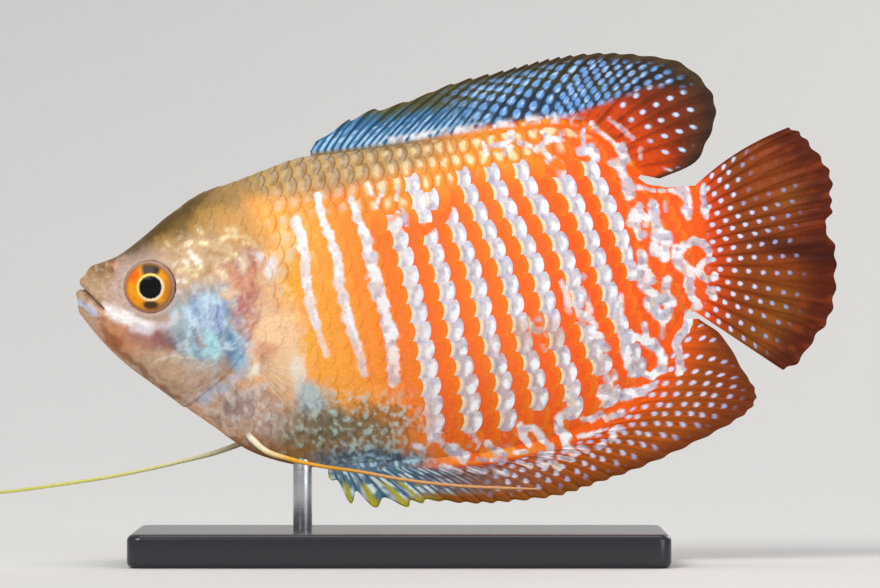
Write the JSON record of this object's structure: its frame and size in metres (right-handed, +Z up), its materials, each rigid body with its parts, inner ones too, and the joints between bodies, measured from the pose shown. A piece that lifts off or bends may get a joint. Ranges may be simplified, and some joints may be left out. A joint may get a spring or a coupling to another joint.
{
  "type": "dwarf gourami",
  "caption": "Life-size male dwarf gourami in breeding colours: deep striped body, tall dorsal and anal fins and thread-like feelers, held by a rod over a flat base.",
  "frame": {"origin": "centre of the underside of the stand's base", "axes": "+Z up, +X towards the fish's tail, +Y towards the fish's right flank"},
  "size_m": [0.0924, 0.03, 0.0535],
  "materials": {
    "head_skin": "satin, slimy skin",
    "flank_scales": "pearly scales in orange and silver bars",
    "eye": "wet, glossy",
    "dorsal_web": "thin wet membrane",
    "anal_web": "thin wet membrane",
    "tail_web": "thin wet membrane",
    "clear_web": "clear wet membrane",
    "feeler_skin": "satin",
    "base_acrylic": "satin black",
    "rod_steel": "brushed"
  },
  "bodies": {
    "root": {"head": "head_skin", "trunk": "flank_scales", "tail_stalk": "flank_scales", "eye_left": "eye", "eye_right": "eye", "dorsal_fin": "dorsal_web", "anal_fin": "anal_web", "tail_fin": "tail_web", "pectoral_left": "clear_web", "pectoral_right": "clear_web", "feeler_left": "feeler_skin", "feeler_right": "feeler_skin", "stand_base": "base_acrylic", "stand_rod": "rod_steel"}
  },
  "joints": []
}
